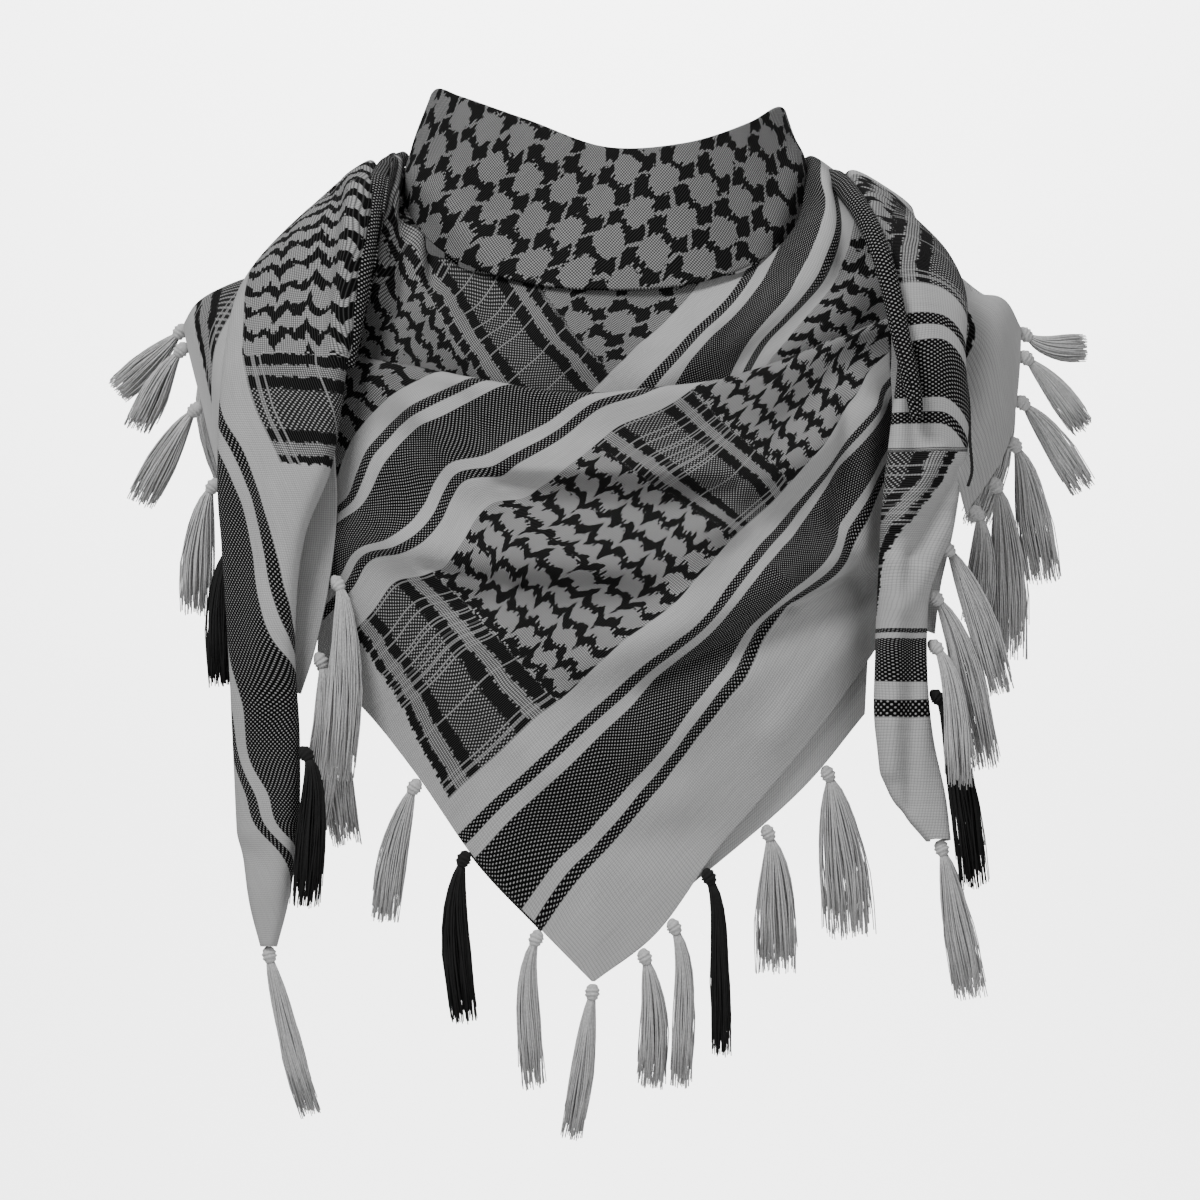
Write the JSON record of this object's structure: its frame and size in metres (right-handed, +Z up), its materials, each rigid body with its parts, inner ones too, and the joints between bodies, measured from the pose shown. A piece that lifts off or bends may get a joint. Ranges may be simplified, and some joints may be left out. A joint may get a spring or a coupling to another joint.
{
  "type": "fringed scarf",
  "caption": "Square woven cotton scarf with check and stripe patterns and a tasselled hem, worn folded corner to corner round the neck, its point on the chest and its ends hanging in front.",
  "frame": {"origin": "on the neck's axis, level with the tops of the shoulders", "axes": "+Z up, -Y towards the front, +X to the right as seen from the front"},
  "size_m": [0.4917, 0.275, 0.525],
  "materials": {
    "patterned_cotton": "woven cotton in grey and near-black yarn, matt",
    "grey_cotton": "plain woven grey cotton, matt",
    "grey_yarn": "loose grey cotton yarn, matt",
    "black_yarn": "loose black cotton yarn, matt"
  },
  "bodies": {
    "root": {"back": "grey_cotton", "bib": "patterned_cotton", "collar": "patterned_cotton", "cowl": "patterned_cotton", "left_tail": "patterned_cotton", "left_under_tail": "grey_cotton", "left_wing": "grey_cotton", "right_tail": "patterned_cotton", "right_under_tail": "grey_cotton", "right_wing": "grey_cotton", "tassel_bib_1": "grey_yarn", "tassel_bib_2": "grey_yarn", "tassel_bib_3": "black_yarn", "tassel_bib_4": "grey_yarn", "tassel_bib_5": "grey_yarn", "tassel_bib_6": "grey_yarn", "tassel_bib_7": "grey_yarn", "tassel_bib_8": "black_yarn", "tassel_left_tail_1": "grey_yarn", "tassel_left_tail_2": "black_yarn", "tassel_left_tail_3": "grey_yarn", "tassel_left_tail_4": "grey_yarn", "tassel_left_wing_1": "grey_yarn", "tassel_left_wing_2": "grey_yarn", "tassel_left_wing_3": "grey_yarn", "tassel_left_wing_4": "grey_yarn", "tassel_left_wing_5": "black_yarn", "tassel_left_wing_6": "grey_yarn", "tassel_left_wing_7": "grey_yarn", "tassel_right_tail_1": "grey_yarn", "tassel_right_tail_2": "grey_yarn", "tassel_right_tail_3": "grey_yarn", "tassel_right_tail_4": "black_yarn", "tassel_right_tail_5": "grey_yarn", "tassel_right_wing_1": "grey_yarn", "tassel_right_wing_2": "grey_yarn", "tassel_right_wing_3": "grey_yarn", "tassel_right_wing_4": "grey_yarn", "tassel_right_wing_5": "grey_yarn", "tassel_right_wing_6": "grey_yarn", "tassel_right_wing_7": "grey_yarn", "tassel_right_wing_8": "grey_yarn", "tassel_under_1": "grey_yarn", "tassel_under_2": "grey_yarn", "under_bib": "grey_cotton"}
  },
  "joints": []
}
